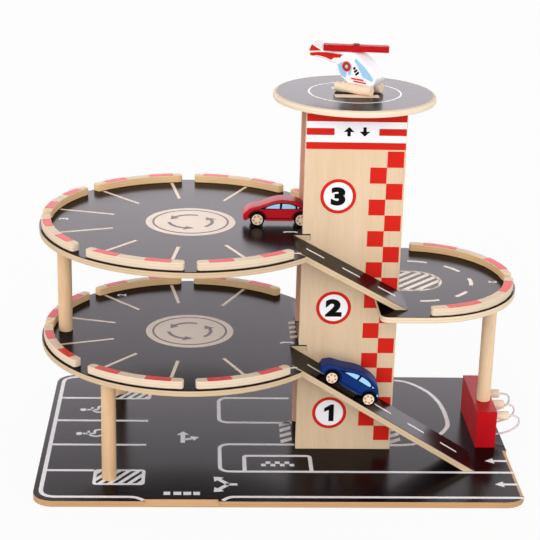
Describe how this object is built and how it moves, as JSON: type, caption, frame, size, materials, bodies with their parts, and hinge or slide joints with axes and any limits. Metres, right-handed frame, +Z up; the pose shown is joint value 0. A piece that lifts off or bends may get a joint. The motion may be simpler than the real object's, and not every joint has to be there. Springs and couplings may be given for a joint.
{
  "type": "toy parking garage with lift",
  "caption": "Wooden toy parking garage: base board, round and half-round decks joined by ramps, a tower with a hand-moved lift and a helipad, fuel block, toy cars and helicopter.",
  "frame": {"origin": "the middle of the base board's underside, on the table", "axes": "+X to the right along the board's long side, +Y to the back, +Z up"},
  "size_m": [0.6229, 0.378, 0.5279],
  "materials": {
    "laminate": "plywood faced with dark printed laminate, natural edges",
    "ply": "lacquered birch plywood with printed panels",
    "birch": "clear-lacquered solid birch, red printed patches on the kerbs",
    "red_paint": "red gloss paint on wood",
    "blue_paint": "blue gloss paint on wood",
    "white_paint": "white gloss paint on wood with printed windows",
    "wheel": "turned birch wheels with black rims",
    "cord": "thin white round cord",
    "felt": "grey felt"
  },
  "bodies": {
    "root": {"base_board": "laminate", "column_back_left": "birch", "column_front_left": "birch", "column_right": "birch", "column_upper_left": "birch", "deck_three": "laminate", "deck_three_kerb_north": "birch", "deck_three_kerb_north_west": "birch", "deck_three_kerb_south": "birch", "deck_three_kerb_south_east": "birch", "deck_three_kerb_south_west": "birch", "deck_three_kerb_tower": "birch", "deck_three_kerb_west": "birch", "deck_two": "laminate", "deck_two_kerb_north": "birch", "deck_two_kerb_north_west": "birch", "deck_two_kerb_south": "birch", "deck_two_kerb_south_east": "birch", "deck_two_kerb_south_west": "birch", "deck_two_kerb_west": "birch", "fuel_block": "red_paint", "fuel_cord_back": "cord", "fuel_cord_front": "cord", "fuel_cord_middle": "cord", "helipad": "laminate", "lift_guide_left": "birch", "lift_guide_right": "birch", "lower_ramp": "laminate", "rear_ramp": "laminate", "side_deck": "laminate", "side_kerb_back": "birch", "side_kerb_front": "birch", "tower_front_panel": "ply", "tower_rear_panel": "ply", "tower_right_panel": "ply", "upper_ramp": "laminate"},
    "lift": {"lift_back_plate": "ply", "lift_felt_left": "felt", "lift_felt_right": "felt", "lift_floor": "ply", "lift_knob": "birch"},
    "red_car": {"red_car_body": "red_paint"},
    "red_car_front_wheels": {"red_car_front_wheels": "wheel"},
    "red_car_rear_wheels": {"red_car_rear_wheels": "wheel"},
    "blue_car": {"blue_car_body": "blue_paint"},
    "blue_car_front_wheels": {"blue_car_front_wheels": "wheel"},
    "blue_car_rear_wheels": {"blue_car_rear_wheels": "wheel"},
    "helicopter": {"helicopter_body": "white_paint", "helicopter_skid_left": "birch", "helicopter_skid_right": "birch", "helicopter_rotor_pin": "birch"},
    "rotor": {"helicopter_rotor": "red_paint"},
    "fuel_nozzle_front": {"fuel_nozzle_front": "birch"},
    "fuel_nozzle_middle": {"fuel_nozzle_middle": "birch"},
    "fuel_nozzle_back": {"fuel_nozzle_back": "birch"}
  },
  "joints": [
    {"name": "lift_travel", "type": "slide", "parent": "root", "child": "lift", "axis": [0, 0, 1], "range_m": [-0.2835, 0]},
    {"name": "red_car_roll", "type": "slide", "parent": "root", "child": "red_car", "axis": [-1, 0, 0], "range_m": [-0.085, 0.19]},
    {"name": "blue_car_roll", "type": "slide", "parent": "root", "child": "blue_car", "axis": [0.8523, 0, -0.523], "range_m": [-0.046, 0.135]},
    {"name": "red_car_front_wheels_spin", "type": "hinge", "parent": "red_car", "child": "red_car_front_wheels", "pos_m": [-0.0302, -0.0025, 0.3093], "axis": [0, 1, 0], "continuous": true},
    {"name": "blue_car_front_wheels_spin", "type": "hinge", "parent": "blue_car", "child": "blue_car_front_wheels", "pos_m": [0.0632, -0.088, 0.13292], "axis": [0, 1, 0], "continuous": true},
    {"name": "red_car_rear_wheels_spin", "type": "hinge", "parent": "red_car", "child": "red_car_rear_wheels", "pos_m": [0.0246, -0.0025, 0.3093], "axis": [0, 1, 0], "continuous": true},
    {"name": "blue_car_rear_wheels_spin", "type": "hinge", "parent": "blue_car", "child": "blue_car_rear_wheels", "pos_m": [0.10991, -0.088, 0.10426], "axis": [0, 1, 0], "continuous": true},
    {"name": "helicopter_lift_off", "type": "slide", "parent": "root", "child": "helicopter", "axis": [0, 0, 1], "range_m": [0, 0.12]},
    {"name": "rotor_spin", "type": "hinge", "parent": "helicopter", "child": "rotor", "pos_m": [0.08625, 0.006, 0.5215], "axis": [0, 0, 1], "continuous": true},
    {"name": "fuel_nozzle_front_pull", "type": "slide", "parent": "root", "child": "fuel_nozzle_front", "axis": [1, 0, 0], "range_m": [0, 0.02], "deforming": ["fuel_cord_front"]},
    {"name": "fuel_nozzle_middle_pull", "type": "slide", "parent": "root", "child": "fuel_nozzle_middle", "axis": [1, 0, 0], "range_m": [0, 0.02], "deforming": ["fuel_cord_middle"]},
    {"name": "fuel_nozzle_back_pull", "type": "slide", "parent": "root", "child": "fuel_nozzle_back", "axis": [1, 0, 0], "range_m": [0, 0.02], "deforming": ["fuel_cord_back"]}
  ]
}
